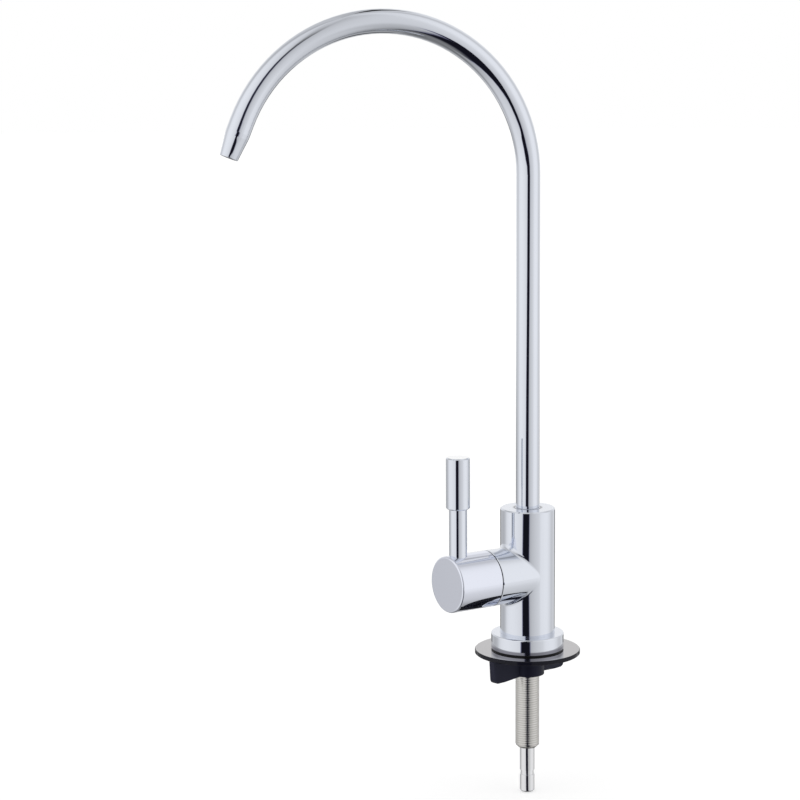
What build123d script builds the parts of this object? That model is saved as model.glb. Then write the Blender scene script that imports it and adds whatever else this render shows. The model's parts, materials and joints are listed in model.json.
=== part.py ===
from build123d import *
import math
import os

# Gooseneck drinking-water faucet with a quarter-turn ceramic valve.
# Millimetres. +Z is up and z = 0 is the deck, on the shank's axis.
# The valve's axis is horizontal and points along -Y, towards the handle.
# "reach" below is a distance from the shank's axis along the valve's axis.

# Valve body and its side port
BODY_DIAMETER = 23.3
BODY_TOP = 61.4
BODY_EDGE = 0.5
VALVE_HEIGHT = 33.3
PORT_ROOT_DIAMETER = 22.9
PORT_FACE_REACH = 20.8
PORT_EDGE = 0.25
PORT_BLEND = 1.8
SPOUT_MOUTH_CHAMFER = 0.35

# Base ring and seat ring
BASE_RING_DIAMETER = 31.0
BASE_RING_THICKNESS = 6.6
BASE_RING_ROUND = 0.6
BODY_SEAT_DEPTH = 3.0
SEAT_RING_DIAMETER = 30.6
SEAT_RING_THICKNESS = 0.6
SEAT_RING_BORE = 11.4
SEAT_RIB_WIDTH = 3.0
SEAT_RIB_HEIGHT = 1.0
SEAT_RIB_RADIUS = 11.5

# Shank and inlet stem
SHANK_DIAMETER = 10.3
SHANK_END = -43.6
SHANK_CHAMFER = 1.2
SHANK_SOCKET_DEPTH = 15.0
STEM_DIAMETER = 6.35
STEM_BORE = 4.0
STEM_END = -63.4
STEM_END_ROUND = 0.9
STEM_COLLAR_DIAMETER = 9.2
STEM_COLLAR_THICKNESS = 1.5
STEM_GROOVE_HEIGHT = -54.8
STEM_GROOVE_WIDTH = 2.0
STEM_GROOVE_DEPTH = 0.35
GASKET_THICKNESS = 1.5
INLET_PASSAGE = 5.0

# Spout
TUBE_DIAMETER = 10.0
TUBE_WALL = 1.0
SPOUT_ARC_RADIUS = 63.2
SPOUT_ARC_HEIGHT = 202.4
SPOUT_ARC_SWEEP = 158.0
SPOUT_TAIL = 15.1
SPOUT_TAPER = 10.0
SPOUT_TAPER_BLEND = 15.0
SPOUT_TIP_DIAMETER = 7.6
SPOUT_TIP_WALL = 0.7
SPOUT_TIP_ROUND = 0.35
SPOUT_REST_SWING = 15.6
SPOUT_SOCKET_DEPTH = 19.4
FITTING_LENGTH = 9.2
FITTING_SPIGOT = 6.0
FITTING_BORE = 5.4
SPOUT_O_RING_WIRE = 1.5
SPOUT_O_RING_PITCH = 2.8
SPOUT_O_RING_DROP = 1.4
RETAINING_RING_WIRE = 1.0
RETAINING_RING_PROUD = 0.6
RETAINING_RING_LIP = 1.5
RETAINING_RING_OPENING = 50.0
O_RING_SIDES = 8

# Quarter-turn cartridge
SEAT_REACH = 5.0
PORT_BORE = 15.1
PORT_BORE_END = 8.0
PORT_THREAD = 17.0
HOUSING_WALL = 1.15
HOUSING_TO_SEAT = 0.6
HOUSING_WINDOW_WIDTH = 6.2
THREAD_START = 14.0
HEX_ACROSS_FLATS = 14.0
HEX_THICKNESS = 3.4
NECK_DIAMETER = 11.0
NECK_END = 27.2
HOUSING_O_RING_WIRE = 1.4
DISC_DIAMETER = 12.4
DISC_SEAL_DIAMETER = 12.0
DISC_SEAL_THICKNESS = 2.2
DISC_SEAL_WIDTH = 1.7
FIXED_DISC_THICKNESS = 2.8
MOVING_DISC_THICKNESS = 2.6
DISC_WINDOW_ANGLE = 76.0
DISC_WINDOW_OUTER = 5.0
DISC_WINDOW_INNER = 1.8
SPINDLE_DIAMETER = 8.0
SPINDLE_FLANGE_DIAMETER = 11.8
SPINDLE_FLANGE_THICKNESS = 2.0
DRIVE_TANG_DEPTH = 1.2
DRIVE_TANG_WIDTH = 2.4
STOP_LUG_ANGLE = 34.0
STOP_LUG_HEIGHT = 1.1
STOP_SLOT_MIDDLE = 180.0
STOP_SPARE_ANGLE = 4.0
HANDLE_TURN = 90.0
THRUST_WASHER_THICKNESS = 0.5
SPINDLE_O_RING_WIRE = 1.4
SPINDLE_O_RING_PITCH = 3.0
SPINDLE_O_RING_SETBACK = 2.1
CIRCLIP_THICKNESS = 0.7
CIRCLIP_DIAMETER = 10.6
CIRCLIP_OPENING = 60.0
CIRCLIP_GROOVE_DEPTH = 0.6
CIRCLIP_TO_SPLINE = 0.4
SPLINE_TEETH = 16
SPLINE_DIAMETER = 7.4
SPLINE_TOOTH = 0.35
SPINDLE_END = 37.6
SPLINE_END_ROOM = 1.0
OUTLET_PASSAGE = 4.0
OUTLET_TOP_REACH = 1.5
OUTLET_TOP_RISE = 1.0
OUTLET_FOOT_REACH = 11.0
OUTLET_FOOT_RISE = 6.0

# Handle
BARREL_DIAMETER = 23.8
BARREL_END_REACH = 41.6
BARREL_END_ROUND = 0.8
BARREL_WALL = 2.3
BARREL_CAVITY_END = 29.2
SEAM_GAP = 0.4
LEVER_REACH = 35.9
LEVER_STEM_DIAMETER = 7.5
LEVER_SEAT_DEPTH = 1.8
LEVER_SCREW_DIAMETER = 5.0
GRIP_DIAMETER = 10.0
GRIP_LENGTH = 21.8
GRIP_TOP = 86.8
GRIP_SOCKET_DEPTH = 11.0
GRIP_EDGE = 0.5

# Deck fixing
WASHER_DIAMETER = 45.0
WASHER_THICKNESS = 1.9
WASHER_EDGE = 0.3
NUT_HUB_DIAMETER = 14.4
NUT_HEIGHT = 9.1
WING_SPAN = 43.8
WING_DROP = 0.7
WING_SLANT = 0.7
WING_ROOT_THICKNESS = 4.2
WING_TIP_THICKNESS = 2.6
WING_ROOT_REACH = 6.5
WING_FOOT_LENGTH = 6.6
WING_CORNER = 2.2
WING_REST_ANGLE = -80.0

# Named clearances, all radial or face to face
RUNNING_CLEARANCE = 0.05
SEAL_CLEARANCE = 0.05
FREE_CLEARANCE = 0.35
FILM = 0.02
GLUE_GAP = 0.02
HAIRLINE = 0.05

# How far a cut runs past a face, and a joined solid into its neighbour
OVERCUT = 1.0
OVERLAP = 0.1

# Places worked out from the sizes above
base_ring_bottom = SEAT_RING_THICKNESS
base_ring_top = base_ring_bottom + BASE_RING_THICKNESS
body_bottom = base_ring_top - BODY_SEAT_DEPTH
socket_top = body_bottom + SHANK_SOCKET_DEPTH
gasket_bottom = socket_top - GASKET_THICKNESS
collar_bottom = gasket_bottom - STEM_COLLAR_THICKNESS
socket_bottom = BODY_TOP - SPOUT_SOCKET_DEPTH
tube_bore = TUBE_DIAMETER - 2 * TUBE_WALL
spout_socket_diameter = TUBE_DIAMETER + 2 * RUNNING_CLEARANCE
fitting_bottom = socket_bottom + 2 * FREE_CLEARANCE
fitting_top = fitting_bottom + FITTING_LENGTH
housing_start = SEAT_REACH + HOUSING_TO_SEAT
housing_diameter = PORT_BORE - 2 * RUNNING_CLEARANCE
pocket_diameter = housing_diameter - 2 * HOUSING_WALL
fixed_disc_start = SEAT_REACH + DISC_SEAL_THICKNESS
moving_disc_start = fixed_disc_start + FIXED_DISC_THICKNESS + FILM
moving_disc_end = moving_disc_start + MOVING_DISC_THICKNESS
flange_end = moving_disc_end + GLUE_GAP + SPINDLE_FLANGE_THICKNESS
thrust_start = flange_end + FILM
pocket_end = thrust_start + THRUST_WASHER_THICKNESS + FILM
hex_end = PORT_FACE_REACH + HEX_THICKNESS
circlip_start = NECK_END + HAIRLINE
circlip_floor = SPINDLE_DIAMETER - 2 * CIRCLIP_GROOVE_DEPTH
spline_start = circlip_start + CIRCLIP_THICKNESS + CIRCLIP_TO_SPLINE
housing_ring_reach = PORT_FACE_REACH - HOUSING_O_RING_WIRE
lug_middle = STOP_SLOT_MIDDLE + HANDLE_TURN / 2
barrel_start = PORT_FACE_REACH + SEAM_GAP
barrel_top = VALVE_HEIGHT + BARREL_DIAMETER / 2
lever_seat = barrel_top - LEVER_SEAT_DEPTH
grip_bottom = GRIP_TOP - GRIP_LENGTH
washer_top = -HAIRLINE
nut_top = washer_top - WASHER_THICKNESS - HAIRLINE
nut_bottom = nut_top - NUT_HEIGHT


def profile_about_z(points):
    """Ring or rod about the Z axis from (radius, height) points."""
    outline = [(radius, 0, height) for radius, height in points]
    return revolve(make_face(Polyline(*outline, close=True)), Axis.Z)


def about_valve(shape):
    """Carry a piece built about Z, with its reach as height, onto the valve's axis."""
    return Pos(0, 0, VALVE_HEIGHT) * Rot(90, 0, 0) * shape


def profile_about_valve(points):
    """Ring or rod about the valve's axis from (radius, reach) points."""
    return about_valve(profile_about_z(points))


def washer_profile(inner, outer, low, high):
    """Corners of a plain ring's section, from diameters."""
    return [(inner / 2, low), (outer / 2, low), (outer / 2, high), (inner / 2, high)]


def rod(diameter, low, high):
    """Plain cylinder on the Z axis between two heights."""
    return Pos(0, 0, low) * Cylinder(diameter / 2, high - low, align=(Align.CENTER, Align.CENTER, Align.MIN))


def o_ring(outer_diameter, wire, height):
    """Seal ring about Z that touches outer_diameter, its squeezed wire drawn with flat sides."""
    half_side = 180 / O_RING_SIDES
    section = RegularPolygon(wire / 2, O_RING_SIDES, major_radius=False, rotation=half_side)
    return revolve(Plane.XZ * Pos(outer_diameter / 2 - wire / 2, height) * section, Axis.Z)


def ring_groove(inner, outer, wire, height):
    """Rectangular ring to cut away for a ring of the given thickness, with a hairline to spare."""
    half = wire / 2 + HAIRLINE
    return profile_about_z(washer_profile(inner, outer, height - half, height + half))


def o_ring_groove(outer_diameter, wire, height):
    """Groove in a rod for an o-ring of this outside diameter."""
    floor = outer_diameter - 2 * wire - 2 * GLUE_GAP
    return ring_groove(floor, outer_diameter + OVERCUT, wire, height)


def sector(inner, outer, low, high, middle, angle):
    """Part of a ring about Z, centred on the angle middle, from diameters."""
    corner = Plane.XZ * make_face(Polyline(*washer_profile(inner, outer, low, high), close=True))
    return Rot(0, 0, middle - angle / 2) * revolve(corner, Axis.Z, angle)


def ring_edges(solid, radius, height):
    """Circular edges about Z of one radius at one height."""
    found = solid.edges().filter_by(GeomType.CIRCLE)
    return found.filter_by(
        lambda e: abs(e.radius - radius) < 0.01 and abs(e.center().Z - height) < 0.01
    )


# Spout


def arch_point(sweep):
    """Point of the arch after bending through the sweep angle, in the XZ plane, leaning to +X."""
    turned = math.radians(sweep)
    across = SPOUT_ARC_RADIUS * (1 - math.cos(turned))
    return (across, 0, SPOUT_ARC_HEIGHT + SPOUT_ARC_RADIUS * math.sin(turned))


def spout_path():
    """Centre line of the tube from its lower end to the end of the arch."""
    riser = Line((0, 0, fitting_top), arch_point(0))
    arch = ThreePointArc(arch_point(0), arch_point(SPOUT_ARC_SWEEP / 2), arch_point(SPOUT_ARC_SWEEP))
    return riser + arch


def tail_plane():
    """Plane at the end of the arch whose normal runs down the straight tail."""
    turned = math.radians(SPOUT_ARC_SWEEP)
    direction = (math.sin(turned), 0, math.cos(turned))
    return Plane(origin=arch_point(SPOUT_ARC_SWEEP), x_dir=(0, 1, 0), z_dir=direction)


def make_spout_tube():
    path = spout_path()
    start = Plane(origin=(0, 0, fitting_top), z_dir=(0, 0, 1))
    section = start * (Circle(TUBE_DIAMETER / 2) - Circle(tube_bore / 2))
    bent = sweep(section, path=path)
    taper_start = SPOUT_TAIL - SPOUT_TAPER
    tip_bore = SPOUT_TIP_DIAMETER - 2 * SPOUT_TIP_WALL
    tail = profile_about_z(
        [
            (tube_bore / 2, 0),
            (TUBE_DIAMETER / 2, 0),
            (TUBE_DIAMETER / 2, taper_start),
            (SPOUT_TIP_DIAMETER / 2, SPOUT_TAIL),
            (tip_bore / 2, SPOUT_TAIL),
            (tube_bore / 2, taper_start),
        ]
    )
    tail = fillet(ring_edges(tail, TUBE_DIAMETER / 2, taper_start), SPOUT_TAPER_BLEND)
    tail = fillet(ring_edges(tail, SPOUT_TIP_DIAMETER / 2, SPOUT_TAIL), SPOUT_TIP_ROUND)
    tube = bent + tail_plane() * tail
    return Rot(0, 0, -90 - SPOUT_REST_SWING) * tube


spout_groove_heights = [
    fitting_top - SPOUT_O_RING_DROP,
    fitting_top - SPOUT_O_RING_DROP - SPOUT_O_RING_PITCH,
]
retaining_height = fitting_bottom + RETAINING_RING_LIP
seal_outer = spout_socket_diameter - 2 * SEAL_CLEARANCE
retaining_outer = TUBE_DIAMETER + 2 * RETAINING_RING_PROUD
retaining_inner = retaining_outer - 2 * RETAINING_RING_WIRE


def make_spout_end_fitting():
    fitting = rod(TUBE_DIAMETER, fitting_bottom, fitting_top)
    fitting += rod(tube_bore - 2 * GLUE_GAP, fitting_top, fitting_top + FITTING_SPIGOT)
    fitting -= rod(FITTING_BORE, fitting_bottom - OVERCUT, fitting_top + FITTING_SPIGOT + OVERCUT)
    for height in spout_groove_heights:
        fitting -= o_ring_groove(seal_outer, SPOUT_O_RING_WIRE, height)
    fitting -= ring_groove(
        retaining_inner - 2 * FREE_CLEARANCE, TUBE_DIAMETER + OVERCUT, RETAINING_RING_WIRE, retaining_height
    )
    return fitting


def make_retaining_ring():
    """Square-section open ring, sprung out into the body's groove."""
    low = retaining_height - RETAINING_RING_WIRE / 2
    high = retaining_height + RETAINING_RING_WIRE / 2
    return sector(retaining_inner, retaining_outer, low, high, 0, 360 - RETAINING_RING_OPENING)


# Valve body


def make_valve_body():
    body = rod(BODY_DIAMETER, body_bottom, BODY_TOP)
    body = chamfer(ring_edges(body, BODY_DIAMETER / 2, BODY_TOP), BODY_EDGE)
    port = profile_about_valve(
        [
            (0, 0),
            (PORT_ROOT_DIAMETER / 2, 0),
            (BARREL_DIAMETER / 2, PORT_FACE_REACH - PORT_EDGE),
            (BARREL_DIAMETER / 2 - PORT_EDGE, PORT_FACE_REACH),
            (0, PORT_FACE_REACH),
        ]
    )
    body += port
    junction = body.edges().filter_by(lambda e: e.geom_type not in (GeomType.CIRCLE, GeomType.LINE))
    body = fillet(junction, PORT_BLEND)
    body -= make_valve_cavity()
    body -= rod(SHANK_DIAMETER + 2 * GLUE_GAP, body_bottom - OVERCUT, socket_top)
    body -= rod(INLET_PASSAGE, socket_top - OVERCUT, VALVE_HEIGHT)
    body -= make_spout_socket()
    body -= ring_groove(
        TUBE_DIAMETER, retaining_outer + 2 * FREE_CLEARANCE, RETAINING_RING_WIRE, retaining_height
    )
    body -= make_outlet_passage()
    return body


def make_spout_socket():
    """Bore for the spout's end fitting, opened at its mouth by a small chamfer."""
    radius = spout_socket_diameter / 2
    mouth = radius + SPOUT_MOUTH_CHAMFER
    return profile_about_z(
        [
            (0, socket_bottom),
            (radius, socket_bottom),
            (radius, BODY_TOP - SPOUT_MOUTH_CHAMFER),
            (mouth, BODY_TOP),
            (mouth, BODY_TOP + OVERCUT),
            (0, BODY_TOP + OVERCUT),
        ]
    )


def make_valve_cavity():
    """Stepped bore that the cartridge screws into, with the inlet at its floor."""
    return profile_about_valve(
        [
            (0, 0),
            (INLET_PASSAGE / 2, 0),
            (INLET_PASSAGE / 2, SEAT_REACH),
            (PORT_BORE / 2, SEAT_REACH),
            (PORT_BORE / 2, PORT_BORE_END),
            (PORT_THREAD / 2 + GLUE_GAP, PORT_BORE_END),
            (PORT_THREAD / 2 + GLUE_GAP, PORT_FACE_REACH + OVERCUT),
            (0, PORT_FACE_REACH + OVERCUT),
        ]
    )


def make_outlet_passage():
    """Slanted drilling from the chamber round the cartridge up into the spout's socket."""
    top = Vector(0, -OUTLET_TOP_REACH, socket_bottom + OUTLET_TOP_RISE)
    foot = Vector(0, -OUTLET_FOOT_REACH, VALVE_HEIGHT + OUTLET_FOOT_RISE)
    along = foot - top
    drill = Plane(origin=top, z_dir=along)
    return drill * rod(OUTLET_PASSAGE, 0, along.length)


def make_base_ring():
    ring = profile_about_z(
        washer_profile(SHANK_DIAMETER + 2 * HAIRLINE, BASE_RING_DIAMETER, base_ring_bottom, base_ring_top)
    )
    ring = fillet(ring_edges(ring, BASE_RING_DIAMETER / 2, base_ring_top), BASE_RING_ROUND)
    ring -= rod(BODY_DIAMETER + 2 * GLUE_GAP, body_bottom, base_ring_top + OVERCUT)
    ring -= seat_rib(HAIRLINE)
    return ring


def seat_rib(growth):
    """Ring-shaped rib on the seat ring, grown on all sides to cut the groove it lies in."""
    return profile_about_z(
        washer_profile(
            2 * (SEAT_RIB_RADIUS - SEAT_RIB_WIDTH / 2 - growth),
            2 * (SEAT_RIB_RADIUS + SEAT_RIB_WIDTH / 2 + growth),
            base_ring_bottom - HAIRLINE,
            base_ring_bottom + SEAT_RIB_HEIGHT + growth,
        )
    )


def make_seat_ring():
    ring = profile_about_z(washer_profile(SEAT_RING_BORE, SEAT_RING_DIAMETER, 0, base_ring_bottom))
    return ring + seat_rib(0)


def make_shank():
    shank = rod(SHANK_DIAMETER, SHANK_END, collar_bottom)
    shank = chamfer(ring_edges(shank, SHANK_DIAMETER / 2, SHANK_END), SHANK_CHAMFER)
    return shank - rod(STEM_DIAMETER + 2 * GLUE_GAP, SHANK_END - OVERCUT, collar_bottom + OVERCUT)


def make_inlet_stem():
    stem = rod(STEM_DIAMETER, STEM_END, collar_bottom)
    stem = fillet(ring_edges(stem, STEM_DIAMETER / 2, STEM_END), STEM_END_ROUND)
    stem += rod(STEM_COLLAR_DIAMETER, collar_bottom, gasket_bottom)
    half = STEM_GROOVE_WIDTH / 2
    stem -= profile_about_z(
        washer_profile(
            STEM_DIAMETER - 2 * STEM_GROOVE_DEPTH,
            STEM_DIAMETER + OVERCUT,
            STEM_GROOVE_HEIGHT - half,
            STEM_GROOVE_HEIGHT + half,
        )
    )
    return stem - rod(STEM_BORE, STEM_END - OVERCUT, gasket_bottom + OVERCUT)


def make_stem_gasket():
    return profile_about_z(washer_profile(INLET_PASSAGE, STEM_COLLAR_DIAMETER, gasket_bottom, socket_top))


# Cartridge


def disc_windows(low, high, outer, turned):
    """Two opposite sector-shaped openings of a ceramic disc, about Z."""
    first = sector(2 * DISC_WINDOW_INNER, 2 * outer, low, high, turned, DISC_WINDOW_ANGLE)
    return first + Rot(0, 0, 180) * first


def stop_lug(growth, angle, middle):
    """Sector inside the housing's pocket that stops the spindle, about Z."""
    inner = pocket_diameter - 2 * STOP_LUG_HEIGHT - 2 * growth
    low = moving_disc_end + HAIRLINE - growth
    return sector(inner, pocket_diameter + 2 * GLUE_GAP, low, pocket_end, middle, angle)


def make_cartridge_housing():
    housing = profile_about_z(
        [
            (pocket_diameter / 2, housing_start),
            (housing_diameter / 2, housing_start),
            (housing_diameter / 2, THREAD_START),
            (PORT_THREAD / 2, THREAD_START),
            (PORT_THREAD / 2, PORT_FACE_REACH),
            (NECK_DIAMETER / 2, PORT_FACE_REACH),
            (NECK_DIAMETER / 2, NECK_END),
            (SPINDLE_DIAMETER / 2 + RUNNING_CLEARANCE, NECK_END),
            (SPINDLE_DIAMETER / 2 + RUNNING_CLEARANCE, pocket_end),
            (pocket_diameter / 2, pocket_end),
        ]
    )
    hexagon = Pos(0, 0, PORT_FACE_REACH) * extrude(
        RegularPolygon(HEX_ACROSS_FLATS / 2, 6, major_radius=False), HEX_THICKNESS
    )
    neck = rod(NECK_DIAMETER - 2 * OVERLAP, PORT_FACE_REACH - OVERCUT, hex_end + OVERCUT)
    housing += hexagon - neck
    housing -= o_ring_groove(PORT_THREAD - 2 * GLUE_GAP, HOUSING_O_RING_WIRE, housing_ring_reach)
    housing += stop_lug(0, STOP_LUG_ANGLE, lug_middle)
    window_low = moving_disc_start + HAIRLINE
    window = Pos(0, 0, (window_low + pocket_end) / 2) * Box(
        PORT_THREAD + OVERCUT, HOUSING_WINDOW_WIDTH, pocket_end - window_low
    )
    window -= rod(pocket_diameter - 2 * OVERLAP, window_low - OVERCUT, pocket_end + OVERCUT)
    housing -= window
    return about_valve(housing)


def make_housing_o_ring():
    return about_valve(o_ring(PORT_THREAD - 2 * GLUE_GAP, HOUSING_O_RING_WIRE, housing_ring_reach))


def make_disc_seal():
    inner = DISC_SEAL_DIAMETER - 2 * DISC_SEAL_WIDTH
    return profile_about_valve(
        washer_profile(inner, DISC_SEAL_DIAMETER, SEAT_REACH, fixed_disc_start)
    )


def make_fixed_disc():
    disc = rod(DISC_DIAMETER, fixed_disc_start, fixed_disc_start + FIXED_DISC_THICKNESS)
    disc -= disc_windows(fixed_disc_start - OVERCUT, moving_disc_start + OVERCUT, DISC_WINDOW_OUTER, 0)
    return about_valve(disc)


def make_moving_disc():
    disc = rod(DISC_DIAMETER, moving_disc_start, moving_disc_end)
    outer = DISC_DIAMETER / 2 + OVERCUT
    disc -= disc_windows(moving_disc_start - OVERCUT, moving_disc_end + OVERCUT, outer, HANDLE_TURN)
    return about_valve(disc - drive_tangs(GLUE_GAP))


def drive_tangs(growth):
    """Bar across the spindle's flange that drives the moving disc, about Z."""
    low = moving_disc_end - DRIVE_TANG_DEPTH - growth
    high = moving_disc_end + GLUE_GAP + OVERLAP
    bar = Pos(0, 0, (low + high) / 2) * Box(
        SPINDLE_FLANGE_DIAMETER + OVERCUT, DRIVE_TANG_WIDTH + 2 * growth, high - low
    )
    return bar & rod(SPINDLE_FLANGE_DIAMETER + 2 * growth, low, high)


spindle_groove_reaches = [
    pocket_end + SPINDLE_O_RING_SETBACK,
    pocket_end + SPINDLE_O_RING_SETBACK + SPINDLE_O_RING_PITCH,
]


def spline_outline(growth):
    """Toothed outline of the spindle's end, grown evenly for the socket."""
    points = []
    for tooth in range(SPLINE_TEETH):
        for part, depth in ((0.0, 0.0), (0.25, 0.0), (0.5, SPLINE_TOOTH), (0.75, SPLINE_TOOTH)):
            angle = 2 * math.pi * (tooth + part) / SPLINE_TEETH
            radius = SPLINE_DIAMETER / 2 - depth + growth
            points.append((radius * math.cos(angle), radius * math.sin(angle)))
    return make_face(Polyline(*points, close=True))


def make_spindle():
    spindle = rod(SPINDLE_FLANGE_DIAMETER, moving_disc_end + GLUE_GAP, flange_end)
    spindle += rod(SPINDLE_DIAMETER, flange_end, spline_start)
    spindle += Pos(0, 0, spline_start) * extrude(spline_outline(0), SPINDLE_END - spline_start)
    spindle += drive_tangs(0)
    slot_angle = STOP_LUG_ANGLE + HANDLE_TURN + STOP_SPARE_ANGLE
    spindle -= stop_lug(HAIRLINE, slot_angle, STOP_SLOT_MIDDLE)
    for reach in spindle_groove_reaches:
        spindle -= o_ring_groove(SPINDLE_DIAMETER, SPINDLE_O_RING_WIRE, reach)
    circlip_middle = circlip_start + CIRCLIP_THICKNESS / 2
    spindle -= ring_groove(circlip_floor, SPINDLE_DIAMETER + OVERCUT, CIRCLIP_THICKNESS, circlip_middle)
    return about_valve(spindle)


def make_spindle_o_rings():
    rings = [o_ring(SPINDLE_DIAMETER, SPINDLE_O_RING_WIRE, reach) for reach in spindle_groove_reaches]
    return Compound([about_valve(ring) for ring in rings])


def make_thrust_washer():
    inner = SPINDLE_DIAMETER + 2 * GLUE_GAP
    outer = pocket_diameter - 2 * STOP_LUG_HEIGHT - 2 * HAIRLINE
    return profile_about_valve(
        washer_profile(inner, outer, thrust_start, thrust_start + THRUST_WASHER_THICKNESS)
    )


def make_spindle_circlip():
    inner = circlip_floor + 2 * GLUE_GAP
    circlip_end = circlip_start + CIRCLIP_THICKNESS
    clip = sector(inner, CIRCLIP_DIAMETER, circlip_start, circlip_end, 0, 360 - CIRCLIP_OPENING)
    return about_valve(clip)


# Handle


def make_handle_barrel():
    barrel = profile_about_z(
        [
            (BARREL_DIAMETER / 2 - BARREL_WALL, barrel_start),
            (BARREL_DIAMETER / 2 - PORT_EDGE, barrel_start),
            (BARREL_DIAMETER / 2, barrel_start + PORT_EDGE),
            (BARREL_DIAMETER / 2, BARREL_END_REACH),
            (0, BARREL_END_REACH),
            (0, BARREL_CAVITY_END),
            (BARREL_DIAMETER / 2 - BARREL_WALL, BARREL_CAVITY_END),
        ]
    )
    barrel = fillet(ring_edges(barrel, BARREL_DIAMETER / 2, BARREL_END_REACH), BARREL_END_ROUND)
    socket = extrude(spline_outline(GLUE_GAP), SPINDLE_END + SPLINE_END_ROOM - BARREL_CAVITY_END)
    barrel = about_valve(barrel - Pos(0, 0, BARREL_CAVITY_END) * socket)
    seat = rod(LEVER_STEM_DIAMETER + 2 * GLUE_GAP, lever_seat, barrel_top + OVERCUT)
    screw = rod(LEVER_SCREW_DIAMETER + 2 * GLUE_GAP, VALVE_HEIGHT, lever_seat + OVERCUT)
    return barrel - Pos(0, -LEVER_REACH, 0) * (seat + screw)


def make_lever_stem():
    screw_foot = VALVE_HEIGHT + SPLINE_DIAMETER / 2 + GLUE_GAP
    stem = rod(LEVER_STEM_DIAMETER, lever_seat, grip_bottom)
    stem += rod(LEVER_SCREW_DIAMETER, screw_foot, lever_seat)
    stem += rod(LEVER_SCREW_DIAMETER, grip_bottom, grip_bottom + GRIP_SOCKET_DEPTH - FREE_CLEARANCE)
    return Pos(0, -LEVER_REACH, 0) * stem


def make_lever_grip():
    grip = rod(GRIP_DIAMETER, grip_bottom, GRIP_TOP)
    grip = chamfer(ring_edges(grip, GRIP_DIAMETER / 2, grip_bottom), GRIP_EDGE)
    grip = chamfer(ring_edges(grip, GRIP_DIAMETER / 2, GRIP_TOP), GRIP_EDGE)
    socket_end = grip_bottom + GRIP_SOCKET_DEPTH
    grip -= rod(LEVER_SCREW_DIAMETER + 2 * GLUE_GAP, grip_bottom - OVERCUT, socket_end)
    return Pos(0, -LEVER_REACH, 0) * grip


# Deck fixing


def make_backing_washer():
    bore = SHANK_DIAMETER + 2 * FREE_CLEARANCE
    washer_bottom = washer_top - WASHER_THICKNESS
    washer = profile_about_z(washer_profile(bore, WASHER_DIAMETER, washer_bottom, washer_top))
    edges = ring_edges(washer, WASHER_DIAMETER / 2, washer_top)
    edges += ring_edges(washer, WASHER_DIAMETER / 2, washer_bottom)
    return chamfer(edges, WASHER_EDGE)


def make_wing():
    """One blade of the nut, standing out along +X, thinner towards its tip."""
    tip = WING_SPAN / 2
    foot = nut_bottom - WING_DROP
    outline = Plane.XZ * make_face(
        Polyline(
            (WING_ROOT_REACH, nut_top),
            (tip, nut_top),
            (tip - WING_SLANT, foot),
            (tip - WING_FOOT_LENGTH, foot),
            (WING_ROOT_REACH, nut_bottom),
            close=True,
        )
    )
    blade = extrude(outline, WING_ROOT_THICKNESS / 2, both=True)
    taper_height = 2 * (abs(foot) + OVERCUT)
    taper = loft(
        [
            Plane.YZ.offset(WING_ROOT_REACH - OVERLAP) * Rectangle(WING_ROOT_THICKNESS, taper_height),
            Plane.YZ.offset(tip + OVERLAP) * Rectangle(WING_TIP_THICKNESS, taper_height),
        ]
    )
    blade &= taper
    corner = blade.edges().filter_by(Axis.Y).sort_by(lambda e: e.center().X - e.center().Z)[-1]
    return fillet(corner, WING_CORNER)


def make_wing_nut():
    nut = rod(NUT_HUB_DIAMETER, nut_bottom, nut_top)
    wing = make_wing()
    nut += wing
    nut += Rot(0, 0, 180) * wing
    nut -= rod(SHANK_DIAMETER + 2 * RUNNING_CLEARANCE, nut_bottom - OVERCUT, nut_top + OVERCUT)
    return Rot(0, 0, WING_REST_ANGLE) * nut


pieces = {
    "spout_tube": make_spout_tube(),
    "spout_end_fitting": make_spout_end_fitting(),
    "spout_o_ring_upper": o_ring(seal_outer, SPOUT_O_RING_WIRE, spout_groove_heights[0]),
    "spout_o_ring_lower": o_ring(seal_outer, SPOUT_O_RING_WIRE, spout_groove_heights[1]),
    "spout_retaining_ring": make_retaining_ring(),
    "valve_body": make_valve_body(),
    "base_ring": make_base_ring(),
    "seat_ring": make_seat_ring(),
    "shank": make_shank(),
    "inlet_stem": make_inlet_stem(),
    "stem_gasket": make_stem_gasket(),
    "cartridge_housing": make_cartridge_housing(),
    "housing_o_ring": make_housing_o_ring(),
    "disc_seal": make_disc_seal(),
    "fixed_disc": make_fixed_disc(),
    "moving_disc": make_moving_disc(),
    "spindle": make_spindle(),
    "spindle_o_rings": make_spindle_o_rings(),
    "thrust_washer": make_thrust_washer(),
    "spindle_circlip": make_spindle_circlip(),
    "handle_barrel": make_handle_barrel(),
    "lever_stem": make_lever_stem(),
    "lever_grip": make_lever_grip(),
    "backing_washer": make_backing_washer(),
    "wing_nut": make_wing_nut(),
}

os.makedirs("parts", exist_ok=True)
for name, piece in pieces.items():
    export_step(piece, f"parts/{name}.step")
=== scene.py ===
import json
import math

import bmesh
import bpy
from mathutils import Matrix, Vector


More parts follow.
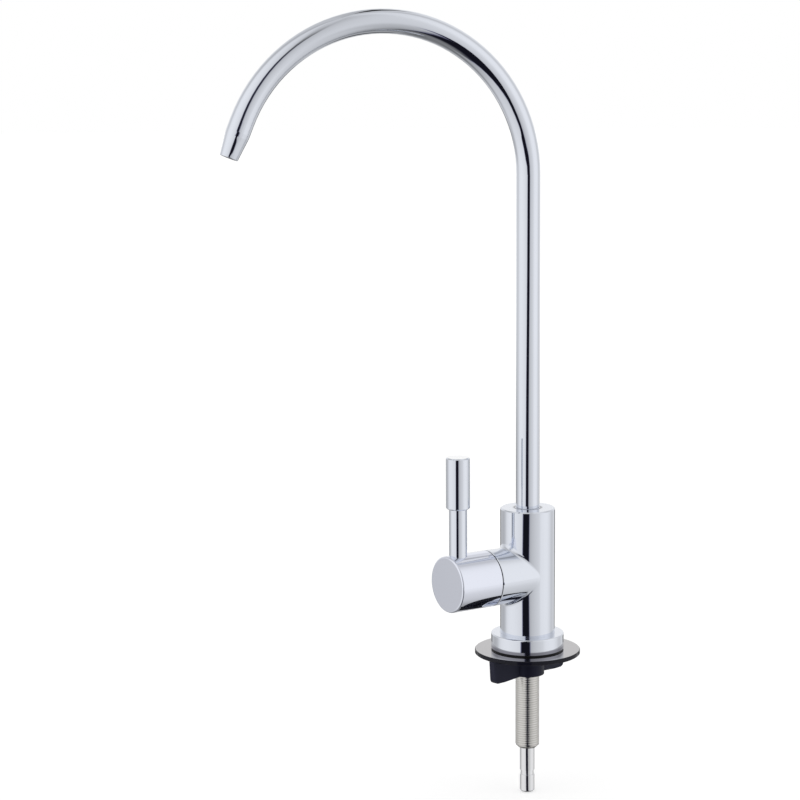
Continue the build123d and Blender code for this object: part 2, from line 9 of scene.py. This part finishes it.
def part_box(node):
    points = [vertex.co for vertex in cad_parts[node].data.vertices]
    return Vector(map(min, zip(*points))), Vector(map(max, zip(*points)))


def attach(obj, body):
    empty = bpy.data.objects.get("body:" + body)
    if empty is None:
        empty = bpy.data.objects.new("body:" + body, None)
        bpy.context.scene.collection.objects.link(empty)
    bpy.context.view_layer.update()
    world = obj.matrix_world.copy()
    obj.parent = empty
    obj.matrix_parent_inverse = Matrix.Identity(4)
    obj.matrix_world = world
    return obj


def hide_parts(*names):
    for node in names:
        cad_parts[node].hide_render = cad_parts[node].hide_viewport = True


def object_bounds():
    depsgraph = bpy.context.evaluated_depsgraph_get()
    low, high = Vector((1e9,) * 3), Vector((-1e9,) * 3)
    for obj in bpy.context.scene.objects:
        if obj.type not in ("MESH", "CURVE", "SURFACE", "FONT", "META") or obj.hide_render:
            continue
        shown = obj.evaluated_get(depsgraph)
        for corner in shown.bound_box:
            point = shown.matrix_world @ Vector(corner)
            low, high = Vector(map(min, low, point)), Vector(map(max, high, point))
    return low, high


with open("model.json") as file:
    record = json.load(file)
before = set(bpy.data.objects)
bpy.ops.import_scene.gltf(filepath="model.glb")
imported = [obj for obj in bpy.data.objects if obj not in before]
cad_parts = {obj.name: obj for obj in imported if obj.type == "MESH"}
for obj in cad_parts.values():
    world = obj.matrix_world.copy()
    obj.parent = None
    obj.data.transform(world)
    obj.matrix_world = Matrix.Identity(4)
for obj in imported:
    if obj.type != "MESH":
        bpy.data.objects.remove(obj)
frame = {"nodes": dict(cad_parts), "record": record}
cad_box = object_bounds()

# Looks of a chrome gooseneck faucet, in metres, in the frame of its solids. The chrome takes its whole look
# from the light tent, which is a function of direction: brightness by compass angle, by rise, and a few gaps.

# Camera, found from the outlines in the photograph
CAMERA_AZIMUTH = math.radians(53.683)
CAMERA_DISTANCE = 1.00155
CAMERA_HEIGHT = 0.26854
CAMERA_TILT = math.radians(9.129)
CAMERA_YAW = math.radians(3.082)
CAMERA_ROLL = math.radians(-0.381)
CAMERA_LENS = 108.24

# Floor
FLOOR_RADIUS = 6.0
FLOOR_DROP = 0.0002
FLOOR_SIDES = 96
FLOOR_COLOUR = (0.86, 0.86, 0.86)
FLOOR_GLOW = 0.42

# Light tent: brightness by compass angle from the camera, in degrees, positive to its right
TENT_ROUND = [
    (-180, 0.72),
    (-165, 0.82),
    (-150, 0.92),
    (-132, 0.8),
    (-116, 0.73),
    (-100, 0.88),
    (-88, 0.96),
    (-70, 1.0),
    (-45, 0.96),
    (-28, 0.9),
    (-4, 0.72),
    (8, 0.56),
    (20, 0.65),
    (34, 0.74),
    (48, 0.82),
    (62, 0.96),
    (85, 1.0),
    (104, 0.9),
    (124, 0.73),
    (140, 0.81),
    (155, 0.9),
    (180, 0.72),
]
# Share of that brightness by height above the horizon, in degrees, on three sides
LEFT_RISE = [
    (-90, 0.24),
    (-70, 0.42),
    (-60, 0.56),
    (-50, 0.72),
    (-40, 0.8),
    (-20, 0.91),
    (-8, 0.98),
    (0, 1.0),
    (30, 1.0),
    (60, 0.88),
    (90, 0.72),
]
RIGHT_RISE = [
    (-90, 0.24),
    (-70, 0.34),
    (-60, 0.5),
    (-50, 0.64),
    (-30, 0.78),
    (-15, 0.95),
    (-4, 1.0),
    (35, 0.98),
    (60, 0.87),
    (90, 0.76),
]
REAR_RISE = [
    (-90, 0.24),
    (-68, 0.24),
    (-55, 0.33),
    (-45, 0.48),
    (-35, 0.66),
    (-25, 0.84),
    (-14, 0.66),
    (-5, 1.0),
    (12, 1.0),
    (25, 0.9),
    (35, 0.8),
    (50, 0.72),
    (90, 0.7),
]
SIDE_BLEND = 25.0
REAR_START = 90.0
REAR_END = 135.0
# Dark gap that the camera looks in through, in degrees: its middle, half its width and its light, by height
GAP_MIDDLE = [
    (-90, 2),
    (-60, 2),
    (-44, 5),
    (-34, 7.5),
    (-24, 10),
    (-20, 9),
    (-18.4, 5),
    (-17, -6),
    (-13, -6),
    (-8, -1),
    (-4, 5),
    (0, 6),
    (7, 2),
    (10, 1),
    (18, 0),
    (27, 1),
    (37, 5),
    (46, 8),
    (90, 8),
]
GAP_HALF_WIDTH = [
    (-90, 22),
    (-70, 20),
    (-60, 16.5),
    (-50, 16),
    (-32, 16),
    (-23, 21),
    (-18, 16.5),
    (-15, 14.5),
    (-5, 12),
    (10, 9),
    (35, 6.8),
    (60, 5),
    (90, 4),
]
GAP_LIGHT = [
    (-90, 0.24),
    (-75, 0.2),
    (-68, 0.1),
    (-62, 0.04),
    (-56, 0.013),
    (5, 0.013),
    (18, 0.04),
    (30, 0.055),
    (36, 0.085),
    (43, 0.2),
    (50, 0.36),
    (58, 0.5),
    (70, 0.64),
    (90, 0.72),
]
GAP_SOFTNESS = 3.0
GAP_COLOUR = (0.55, 0.55, 1.0)
# Light of the gap above which its blue cast is gone
GAP_CAST_END = 0.12
# Compass angle, on either side, over which the gap closes
GAP_CLOSING = (80.0, 95.0)
# Narrow dark gaps on both sides of the backdrop
REAR_GAP_INNER = 15.0
REAR_GAP_OUTER = 30.0
REAR_GAP_LOW = -28.0
REAR_GAP_HIGH = -9.0
REAR_GAP_LIGHT = 0.12
# Dark gap in the roof, above the right half of the backdrop
ROOF_GAP_START = 160.0
ROOF_GAP_LOW = 46.0
ROOF_GAP_HIGH = 74.0
ROOF_GAP_LIGHT = 0.04
# Dark gap low behind the object, to the right of the backdrop
LOW_GAP_START = 150.0
LOW_GAP_LOW = -53.0
LOW_GAP_HIGH = -38.0
LOW_GAP_LIGHT = 0.06
# Bright backdrop behind the object, as the polished tops see it
BACKDROP_LIGHT = 0.96
BACKDROP_HALF_WIDTH = 13.0
BACKDROP_TOP = 30.0
BACKDROP_SOFTNESS = 5.0

# Rolled thread of the shank; the profile is the depth share at even steps up one pitch
THREAD_PITCH = 0.001
THREAD_DEPTH = 0.00022
THREAD_PROFILE = (0.0, 0.5, 1.0, 0.5)
THREAD_SIDES = 48
THREAD_TOP = 0.001
SHANK_END_ROUND = 0.0012
SHARP_ANGLE = math.radians(60)

# Haze of handling along the rims of the polished pieces
RIM_WIDTH = 0.0007
RIM_ROUGHNESS = 0.12

# Painted shade: a dark ring painted on the body's top around the tube, where the tube meets the body
TUBE_SHADE_INNER = 0.0054
TUBE_SHADE_OUTER = 0.0068
TUBE_SHADE_COLOUR = (0.10, 0.10, 0.12)

# Painted shade along the base ring's foot, where it sits on the seat ring
FOOT_START = 0.0018
FOOT_END = 0.0009
FOOT_SHADE_COLOUR = (0.40, 0.41, 0.47)

# Painted highlight: lighter colour on the lever's flat top
LEVER_TOP_HIGHLIGHT = (0.97, 0.975, 0.985)

# Upward share of a surface's normal at which it starts to count as a top, and at which it is one
TOP_SLOPE = (0.9, 0.99)

# Washer's polished top: 1 less the cosine of the view angle where the mirror starts and where it is full
WASHER_MIRROR_START = (0.35, 0.50)
WASHER_MIRROR_RISE = (0.50, 0.78)
WASHER_MIRROR = (0.46, 0.45, 0.46)


# Node helpers


def link_value(tree, socket, value):
    """Put a number, a colour or another node's output into a socket."""
    if isinstance(value, bpy.types.NodeSocket):
        tree.links.new(value, socket)
    else:
        socket.default_value = value


def math_node(tree, operation, first, second=None, clamp=False):
    node = tree.nodes.new("ShaderNodeMath")
    node.operation = operation
    node.use_clamp = clamp
    link_value(tree, node.inputs[0], first)
    if second is not None:
        link_value(tree, node.inputs[1], second)
    return node.outputs[0]


def dot_node(tree, vector, direction):
    node = tree.nodes.new("ShaderNodeVectorMath")
    node.operation = "DOT_PRODUCT"
    tree.links.new(vector, node.inputs[0])
    node.inputs[1].default_value = direction
    return node.outputs["Value"]


def step_node(tree, value, low, high):
    """Smooth step from 0 at low to 1 at high."""
    node = tree.nodes.new("ShaderNodeMapRange")
    node.interpolation_type = "SMOOTHSTEP"
    link_value(tree, node.inputs["Value"], value)
    link_value(tree, node.inputs["From Min"], low)
    link_value(tree, node.inputs["From Max"], high)
    return node.outputs["Result"]


def mix_node(tree, share, first, second):
    """Number that runs from first to second as share goes from 0 to 1."""
    node = tree.nodes.new("ShaderNodeMix")
    node.data_type = "FLOAT"
    link_value(tree, node.inputs["Factor"], share)
    link_value(tree, node.inputs["A"], first)
    link_value(tree, node.inputs["B"], second)
    return node.outputs["Result"]


def colour_node(tree, share, first, second):
    """Colour that runs from first to second as share goes from 0 to 1."""
    node = tree.nodes.new("ShaderNodeMix")
    node.data_type = "RGBA"
    link_value(tree, node.inputs["Factor"], share)
    colours = [socket for socket in node.inputs if socket.type == "RGBA"]
    for socket, value in zip(colours, (first, second)):
        link_value(tree, socket, (*value, 1) if isinstance(value, tuple) else value)
    return next(socket for socket in node.outputs if socket.type == "RGBA")


def curve_node(tree, angle, points, full_turn):
    """Value of a smooth curve through (degrees, value) points, at an angle in degrees."""
    start = points[0][0]
    peak = max(abs(value) for _, value in points)
    node = tree.nodes.new("ShaderNodeFloatCurve")
    curve = node.mapping.curves[0]
    places = [((degrees - start) / full_turn, 0.5 + 0.5 * value / peak) for degrees, value in points]
    while len(curve.points) < len(places):
        curve.points.new(0.5, 0.5)
    for point, place in zip(curve.points, places):
        point.location = place
        point.handle_type = "AUTO_CLAMPED"
    node.mapping.update()
    along = math_node(tree, "DIVIDE", math_node(tree, "SUBTRACT", angle, start), full_turn)
    tree.links.new(along, node.inputs["Value"])
    centred = math_node(tree, "SUBTRACT", node.outputs["Value"], 0.5)
    return math_node(tree, "MULTIPLY", centred, 2 * peak)


# Shape helper


def ring_of_points(radius, height, sides):
    angles = [2 * math.pi * k / sides for k in range(sides)]
    return [Vector((radius * math.cos(angle), radius * math.sin(angle), height)) for angle in angles]


# Camera, light and floor


def camera_directions():
    """Horizontal unit vectors towards the camera and to its right."""
    towards = Vector((math.sin(CAMERA_AZIMUTH), -math.cos(CAMERA_AZIMUTH), 0))
    rightwards = Vector((math.cos(CAMERA_AZIMUTH), math.sin(CAMERA_AZIMUTH), 0))
    return towards, rightwards


def make_camera():
    heading = CAMERA_AZIMUTH + CAMERA_YAW
    level = math.cos(CAMERA_TILT)
    forward = Vector((-math.sin(heading) * level, math.cos(heading) * level, -math.sin(CAMERA_TILT)))
    right = Vector((math.cos(heading), math.sin(heading), 0))
    up = right.cross(forward)
    rolled_right = math.cos(CAMERA_ROLL) * right + math.sin(CAMERA_ROLL) * up
    rolled_up = math.cos(CAMERA_ROLL) * up - math.sin(CAMERA_ROLL) * right
    towards, _ = camera_directions()
    place = CAMERA_DISTANCE * towards + Vector((0, 0, CAMERA_HEIGHT))
    data = bpy.data.cameras.new("camera")
    data.lens = CAMERA_LENS
    data.sensor_width = 36.0
    camera = bpy.data.objects.new("camera", data)
    axes = Matrix((rolled_right, rolled_up, -forward)).transposed()
    camera.matrix_world = Matrix.Translation(place) @ axes.to_4x4()
    bpy.context.scene.collection.objects.link(camera)
    bpy.context.scene.camera = camera


def window_node(tree, value, low, high, softness):
    """1 between low and high and 0 outside, with soft edges."""
    rising = step_node(tree, value, low - softness, low + softness)
    falling = step_node(tree, value, high + softness, high - softness)
    return math_node(tree, "MULTIPLY", rising, falling)


def tent_walls(tree, compass, rise):
    """Brightness of the tent's white walls, without its gaps."""
    right_side = step_node(tree, compass, -SIDE_BLEND, SIDE_BLEND)
    leftwards = math_node(tree, "MULTIPLY", compass, -1.0)
    rear_left = step_node(tree, leftwards, REAR_START, REAR_END)
    front = mix_node(
        tree, right_side, curve_node(tree, rise, LEFT_RISE, 180), curve_node(tree, rise, RIGHT_RISE, 180)
    )
    share = mix_node(tree, rear_left, front, curve_node(tree, rise, REAR_RISE, 180))
    return math_node(tree, "MULTIPLY", curve_node(tree, compass, TENT_ROUND, 360), share)


def beside_front_gap(tree, compass, rise):
    """0 in the gap that the camera looks in through and 1 beside it."""
    off_middle = math_node(tree, "SUBTRACT", compass, curve_node(tree, rise, GAP_MIDDLE, 180))
    level = math_node(tree, "COSINE", math_node(tree, "RADIANS", rise))
    off_gap = math_node(tree, "MULTIPLY", math_node(tree, "ABSOLUTE", off_middle), level)
    past_edge = math_node(tree, "SUBTRACT", off_gap, curve_node(tree, rise, GAP_HALF_WIDTH, 180))
    beside = step_node(tree, past_edge, -GAP_SOFTNESS, GAP_SOFTNESS)
    behind = step_node(tree, math_node(tree, "ABSOLUTE", compass), *GAP_CLOSING)
    return math_node(tree, "MAXIMUM", beside, behind)


def make_tent():
    """White for the camera, and for everything else a light tent with a gap where the camera looks in."""
    world = bpy.data.worlds.new("tent")
    bpy.context.scene.world = world
    world.use_nodes = True
    tree = world.node_tree
    tree.nodes.clear()
    direction = tree.nodes.new("ShaderNodeTexCoord").outputs["Generated"]
    towards, rightwards = camera_directions()
    ahead = dot_node(tree, direction, towards)
    aside = dot_node(tree, direction, rightwards)
    height = dot_node(tree, direction, (0, 0, 1))
    compass = math_node(tree, "DEGREES", math_node(tree, "ARCTAN2", aside, ahead))
    rise = math_node(tree, "DEGREES", math_node(tree, "ARCSINE", height))
    beside_gap = beside_front_gap(tree, compass, rise)
    gap_light = curve_node(tree, rise, GAP_LIGHT, 180)
    tent = mix_node(tree, beside_gap, gap_light, tent_walls(tree, compass, rise))
    off_back = math_node(tree, "SUBTRACT", 180.0, math_node(tree, "ABSOLUTE", compass))
    rear_gap = math_node(
        tree,
        "MULTIPLY",
        window_node(tree, off_back, REAR_GAP_INNER, REAR_GAP_OUTER, BACKDROP_SOFTNESS / 2),
        window_node(tree, rise, REAR_GAP_LOW, REAR_GAP_HIGH, BACKDROP_SOFTNESS / 2),
    )
    tent = mix_node(tree, rear_gap, tent, REAR_GAP_LIGHT)
    roof_gap = math_node(
        tree,
        "MULTIPLY",
        step_node(tree, compass, ROOF_GAP_START - BACKDROP_SOFTNESS, ROOF_GAP_START + BACKDROP_SOFTNESS),
        window_node(tree, rise, ROOF_GAP_LOW, ROOF_GAP_HIGH, BACKDROP_SOFTNESS),
    )
    tent = mix_node(tree, roof_gap, tent, ROOF_GAP_LIGHT)
    low_gap = math_node(
        tree,
        "MULTIPLY",
        step_node(tree, compass, LOW_GAP_START - BACKDROP_SOFTNESS, LOW_GAP_START + BACKDROP_SOFTNESS),
        window_node(tree, rise, LOW_GAP_LOW, LOW_GAP_HIGH, BACKDROP_SOFTNESS),
    )
    tent = mix_node(tree, low_gap, tent, LOW_GAP_LIGHT)
    backdrop = math_node(
        tree,
        "MULTIPLY",
        window_node(tree, off_back, -BACKDROP_HALF_WIDTH, BACKDROP_HALF_WIDTH, BACKDROP_SOFTNESS / 2),
        window_node(tree, rise, 0.0, BACKDROP_TOP, BACKDROP_SOFTNESS),
    )
    light = mix_node(tree, backdrop, tent, BACKDROP_LIGHT)
    seen = tree.nodes.new("ShaderNodeLightPath").outputs["Is Camera Ray"]
    strength = mix_node(tree, seen, light, 1.0)
    background = tree.nodes.new("ShaderNodeBackground")
    lit_gap = math_node(tree, "DIVIDE", gap_light, GAP_CAST_END, clamp=True)
    pale = math_node(tree, "MAXIMUM", math_node(tree, "MAXIMUM", beside_gap, seen), lit_gap)
    tree.links.new(colour_node(tree, pale, GAP_COLOUR, (1, 1, 1)), background.inputs["Color"])
    tree.links.new(strength, background.inputs["Strength"])
    output = tree.nodes.new("ShaderNodeOutputWorld")
    tree.links.new(background.outputs[0], output.inputs["Surface"])


def make_floor():
    data = bpy.data.meshes.new("floor")
    data.from_pydata(ring_of_points(FLOOR_RADIUS, 0, FLOOR_SIDES), [], [list(range(FLOOR_SIDES))])
    floor = bpy.data.objects.new("floor", data)
    floor.location.z = cad_box[0][2] - FLOOR_DROP
    bpy.context.scene.collection.objects.link(floor)
    material = bpy.data.materials.new("floor")
    material.use_nodes = True
    tree = material.node_tree
    tree.nodes.clear()
    paper = tree.nodes.new("ShaderNodeBsdfDiffuse")
    paper.inputs["Color"].default_value = (*FLOOR_COLOUR, 1)
    glow = tree.nodes.new("ShaderNodeEmission")
    seen = tree.nodes.new("ShaderNodeLightPath").outputs["Is Camera Ray"]
    tree.links.new(math_node(tree, "MULTIPLY", seen, FLOOR_GLOW), glow.inputs["Strength"])
    both = tree.nodes.new("ShaderNodeAddShader")
    tree.links.new(paper.outputs[0], both.inputs[0])
    tree.links.new(glow.outputs[0], both.inputs[1])
    output = tree.nodes.new("ShaderNodeOutputMaterial")
    tree.links.new(both.outputs[0], output.inputs["Surface"])
    data.materials.append(material)
    floor.visible_glossy = False


# Materials


def new_material(name, **settings):
    """Principled material with plain settings on its sockets; returns it, its tree and its shader."""
    material = bpy.data.materials.new(name)
    material.use_nodes = True
    tree = material.node_tree
    shader = tree.nodes["Principled BSDF"]
    for socket, value in settings.items():
        shader.inputs[socket.replace("_", " ")].default_value = value
    return material, tree, shader


def noise_node(tree, size, detail=3.0, stretch=(1, 1, 1)):
    """Noise in object space whose features are about size metres across."""
    place = tree.nodes.new("ShaderNodeTexCoord").outputs["Object"]
    mapping = tree.nodes.new("ShaderNodeMapping")
    mapping.inputs["Scale"].default_value = [s / size for s in stretch]
    tree.links.new(place, mapping.inputs["Vector"])
    noise = tree.nodes.new("ShaderNodeTexNoise")
    noise.inputs["Scale"].default_value = 1.0
    noise.inputs["Detail"].default_value = detail
    tree.links.new(mapping.outputs["Vector"], noise.inputs["Vector"])
    return noise.outputs["Fac"]


def vary(tree, socket, share, low, high):
    """Drive a number socket from low to high by a 0 to 1 value."""
    tree.links.new(mix_node(tree, share, low, high), socket)


def tint(tree, shader, share, first, second):
    """Drive the base colour from first to second by a 0 to 1 value; returns the colour."""
    colour = colour_node(tree, share, first, second)
    tree.links.new(colour, shader.inputs["Base Color"])
    return colour


def object_place(tree):
    """Node whose outputs X, Y and Z are the place on the object."""
    parts = tree.nodes.new("ShaderNodeSeparateXYZ")
    tree.links.new(tree.nodes.new("ShaderNodeTexCoord").outputs["Object"], parts.inputs["Vector"])
    return parts


def facing_up(tree):
    """1 on flat tops and 0 on all other faces."""
    parts = tree.nodes.new("ShaderNodeSeparateXYZ")
    tree.links.new(tree.nodes.new("ShaderNodeNewGeometry").outputs["Normal"], parts.inputs["Vector"])
    return step_node(tree, parts.outputs["Z"], *TOP_SLOPE)


def reach_node(tree):
    """Distance from the shank's axis."""
    flat = tree.nodes.new("ShaderNodeVectorMath")
    flat.operation = "MULTIPLY"
    flat.inputs[1].default_value = (1, 1, 0)
    tree.links.new(tree.nodes.new("ShaderNodeTexCoord").outputs["Object"], flat.inputs[0])
    length = tree.nodes.new("ShaderNodeVectorMath")
    length.operation = "LENGTH"
    tree.links.new(flat.outputs["Vector"], length.inputs[0])
    return length.outputs["Value"]


def rim_share(tree, rims):
    """1 on the given rims and 0 away from them; a rim is an axis and a place on it."""
    place = object_place(tree)
    share = None
    for axis, height in rims:
        off = math_node(tree, "ABSOLUTE", math_node(tree, "SUBTRACT", place.outputs[axis], height))
        near = step_node(tree, off, RIM_WIDTH, 0.0)
        share = near if share is None else math_node(tree, "MAXIMUM", share, near)
    return share


def bump(tree, shader, height, depth):
    node = tree.nodes.new("ShaderNodeBump")
    node.inputs["Distance"].default_value = depth
    tree.links.new(height, node.inputs["Height"])
    tree.links.new(node.outputs["Normal"], shader.inputs["Normal"])


def plated(name, rims=(), dark=(0.735, 0.765, 0.835), light=(0.765, 0.795, 0.86)):
    """Polished chrome plate, duller where hands rub its rims; returns it, its tree, its shader and its colour."""
    material, tree, shader = new_material(name, Metallic=1.0)
    haze = noise_node(tree, 0.006, 4.0, (1, 1, 0.35))
    rough = mix_node(tree, haze, 0.02, 0.06)
    if rims:
        scuffs = math_node(tree, "MULTIPLY", rim_share(tree, rims), noise_node(tree, 0.0012, 4.0))
        rough = math_node(tree, "ADD", rough, math_node(tree, "MULTIPLY", scuffs, RIM_ROUGHNESS))
    tree.links.new(rough, shader.inputs["Roughness"])
    colour = tint(tree, shader, noise_node(tree, 0.03), dark, light)
    bump(tree, shader, noise_node(tree, 0.0012, 2.0), 0.0000015)
    return material, tree, shader, colour


def chrome(name):
    return plated(name)[0]


def body_chrome(name):
    """Plate of body and base ring, with painted shade in a ring around the tube on the body's top and painted
    shade along the ring's foot.
    """
    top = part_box("valve_body")[1][2]
    ring_low, ring_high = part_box("base_ring")
    material, tree, shader, colour = plated(name, [("Z", top), ("Z", ring_high[2]), ("Z", ring_low[2])])
    # Painted shade: a dark ring in the base colour on the body's top around the tube
    near_tube = step_node(tree, reach_node(tree), TUBE_SHADE_OUTER, TUBE_SHADE_INNER)
    tube_shade = math_node(tree, "MULTIPLY", near_tube, facing_up(tree))
    colour = tint(tree, shader, tube_shade, colour, TUBE_SHADE_COLOUR)
    # Painted shade: base colour darker towards the base ring's foot
    height = object_place(tree).outputs["Z"]
    foot = step_node(tree, height, ring_low[2] + FOOT_START, ring_low[2] + FOOT_END)
    tint(tree, shader, foot, colour, FOOT_SHADE_COLOUR)
    return material


def handle_chrome(name):
    low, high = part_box("handle_barrel")
    return plated(name, [("Y", low[1]), ("Y", high[1])], (0.775, 0.80, 0.895), (0.80, 0.825, 0.915))[0]


def lever_chrome(name):
    low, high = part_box("lever_grip")
    material, tree, shader, colour = plated(name, [("Z", low[2]), ("Z", high[2])])
    # Painted highlight: the lever's upward-facing top gets a lighter base colour
    tint(tree, shader, facing_up(tree), colour, LEVER_TOP_HIGHLIGHT)
    return material


def stem_chrome(name):
    """Thinner plate on the push-fit stem, less blue than the body's."""
    return plated(name, dark=(0.79, 0.795, 0.815), light=(0.83, 0.83, 0.84))[0]


def satin_steel(name, dark=(0.57, 0.555, 0.53), light=(0.67, 0.66, 0.64)):
    """Turned and plated steel, a little warm and dull."""
    material, tree, shader = new_material(name, Metallic=1.0)
    turning = noise_node(tree, 0.0009, 3.0, (0.3, 0.3, 2.5))
    vary(tree, shader.inputs["Roughness"], turning, 0.12, 0.26)
    tint(tree, shader, turning, dark, light)
    bump(tree, shader, turning, 0.000008)
    return material


def brass(name):
    material, tree, shader = new_material(name, Metallic=1.0)
    turning = noise_node(tree, 0.0008, 3.0, (1, 2.5, 1))
    vary(tree, shader.inputs["Roughness"], turning, 0.18, 0.32)
    tint(tree, shader, turning, (0.60, 0.44, 0.20), (0.78, 0.60, 0.30))
    bump(tree, shader, turning, 0.00001)
    return material


def rubber(name):
    material, tree, shader = new_material(name, Specular_IOR_Level=0.3)
    grain = noise_node(tree, 0.0007, 5.0)
    vary(tree, shader.inputs["Roughness"], grain, 0.32, 0.50)
    tint(tree, shader, grain, (0.006, 0.006, 0.009), (0.016, 0.016, 0.021))
    bump(tree, shader, grain, 0.00002)
    return material


def washer_plastic(name):
    """Smooth black washer whose polished top mirrors the room where it is seen from low down."""
    material, tree, shader = new_material(name, Specular_IOR_Level=0.16)
    flow = noise_node(tree, 0.004, 4.0)
    vary(tree, shader.inputs["Roughness"], flow, 0.04, 0.09)
    bump(tree, shader, noise_node(tree, 0.0009, 4.0), 0.0000006)
    facing = tree.nodes.new("ShaderNodeLayerWeight")
    facing.inputs["Blend"].default_value = 0.5
    slant = math_node(tree, "MULTIPLY", facing.outputs["Facing"], facing_up(tree))
    tree.links.new(step_node(tree, slant, *WASHER_MIRROR_START), shader.inputs["Metallic"])
    grime = colour_node(tree, noise_node(tree, 0.0008, 4.0), (0.005, 0.005, 0.011), (0.012, 0.012, 0.020))
    tint(tree, shader, step_node(tree, slant, *WASHER_MIRROR_RISE), grime, WASHER_MIRROR)
    return material


def moulded_plastic(name):
    """Black nylon with the fine grain of its mould, paler where the wings' tips are rubbed."""
    material, tree, shader = new_material(name, Specular_IOR_Level=0.25, Specular_Tint=(0.62, 0.66, 1.0, 1.0))
    grain = noise_node(tree, 0.0005, 4.0)
    vary(tree, shader.inputs["Roughness"], grain, 0.38, 0.55)
    tip = max(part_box("wing_nut")[1][:2])
    rubbed = step_node(tree, reach_node(tree), 0.9 * tip, tip)
    worn = math_node(tree, "MULTIPLY", rubbed, noise_node(tree, 0.0011, 5.0))
    mottle = math_node(tree, "MULTIPLY", noise_node(tree, 0.006), 0.5)
    share = math_node(tree, "ADD", mottle, worn, clamp=True)
    tint(tree, shader, share, (0.005, 0.005, 0.012), (0.016, 0.016, 0.030))
    bump(tree, shader, grain, 0.00003)
    return material


def pale_plastic(name):
    material, tree, shader = new_material(name)
    grain = noise_node(tree, 0.0006, 4.0)
    vary(tree, shader.inputs["Roughness"], grain, 0.32, 0.45)
    tint(tree, shader, grain, (0.72, 0.71, 0.66), (0.82, 0.81, 0.77))
    bump(tree, shader, grain, 0.00001)
    return material


def ceramic(name):
    material, tree, shader = new_material(name, IOR=1.76)
    grain = noise_node(tree, 0.0005, 5.0)
    vary(tree, shader.inputs["Roughness"], grain, 0.10, 0.22)
    tint(tree, shader, grain, (0.80, 0.79, 0.76), (0.88, 0.87, 0.85))
    bump(tree, shader, grain, 0.000004)
    return material


SLOT_MATERIALS = {
    "body_chrome": body_chrome,
    "spout_chrome": chrome,
    "handle_chrome": handle_chrome,
    "lever_chrome": lever_chrome,
    "stem_chrome": stem_chrome,
    "shank_steel": satin_steel,
    "spring_steel": satin_steel,
    "turned_brass": brass,
    "black_rubber": rubber,
    "valve_ceramic": ceramic,
    "white_nylon": pale_plastic,
    "black_gloss": washer_plastic,
    "black_plastic": moulded_plastic,
}


def dress_nodes():
    """Give every solid the material of its slot in the record."""
    materials = {slot: make(slot) for slot, make in SLOT_MATERIALS.items()}
    for part in frame["record"]["subparts"]:
        node = frame["nodes"][part["node"]]
        node.data.materials.clear()
        node.data.materials.append(materials[part["material_slot"]])
    return materials


def mount_radius(name):
    mount = next(m for m in frame["record"]["mounts"] if m["name"] == name)
    return mount["dims"]["r_mm"] / 1000


def helix_point(row, side, low, top, radius):
    """Point of the threaded wall: row counts up the helix, side goes round, both ends run out flat."""
    turned = side / THREAD_SIDES
    height = low + (row / len(THREAD_PROFILE) + turned) * THREAD_PITCH
    across = radius - THREAD_DEPTH * THREAD_PROFILE[row % len(THREAD_PROFILE)]
    if height >= top:
        height, across = top, radius - THREAD_DEPTH
    height = max(height, low)
    across = min(across, radius - SHANK_END_ROUND + height - low)
    angle = 2 * math.pi * turned
    return Vector((across * math.cos(angle), across * math.sin(angle), height))


def make_threaded_shank(material):
    """The shank with its rolled thread, a helix of the pitch that the nut climbs by."""
    low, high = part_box("shank")
    radius = high[0]
    bore = mount_radius("inlet_stem")
    per_turn = len(THREAD_PROFILE)
    turns = math.ceil((THREAD_TOP - low[2]) / THREAD_PITCH)
    rows = range(-per_turn, turns * per_turn + 1)
    grid = bmesh.new()
    wall = [
        [grid.verts.new(helix_point(row, side, low[2], THREAD_TOP, radius)) for side in range(THREAD_SIDES)]
        for row in rows
    ]
    for lower, row in enumerate(wall[:-1]):
        above = wall[lower + 1]
        for side in range(THREAD_SIDES - 1):
            grid.faces.new((row[side], row[side + 1], above[side + 1], above[side]))
        if lower + per_turn + 1 < len(wall):
            seam, seam_above = wall[lower + per_turn][0], wall[lower + per_turn + 1][0]
            grid.faces.new((row[-1], seam, seam_above, above[-1]))
    edges = ((radius - THREAD_DEPTH, high[2]), (bore, high[2]), (bore, low[2]))
    loops = [[grid.verts.new(point) for point in ring_of_points(*edge, THREAD_SIDES)] for edge in edges]
    for first, second in zip([wall[-1], *loops], [*loops, wall[0]]):
        for side in range(THREAD_SIDES):
            after = (side + 1) % THREAD_SIDES
            grid.faces.new((first[side], first[after], second[after], second[side]))
    bmesh.ops.remove_doubles(grid, verts=grid.verts, dist=THREAD_DEPTH / 1000)
    bmesh.ops.recalc_face_normals(grid, faces=grid.faces)
    data = bpy.data.meshes.new("shank_thread")
    grid.to_mesh(data)
    grid.free()
    data.set_sharp_from_angle(angle=SHARP_ANGLE)
    data.materials.append(material)
    thread = bpy.data.objects.new("shank_thread", data)
    bpy.context.scene.collection.objects.link(thread)
    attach(thread, "faucet_body")
    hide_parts("shank")


make_camera()
make_tent()
make_floor()
materials = dress_nodes()
make_threaded_shank(materials["shank_steel"])
bpy.context.scene.view_settings.view_transform = "Standard"
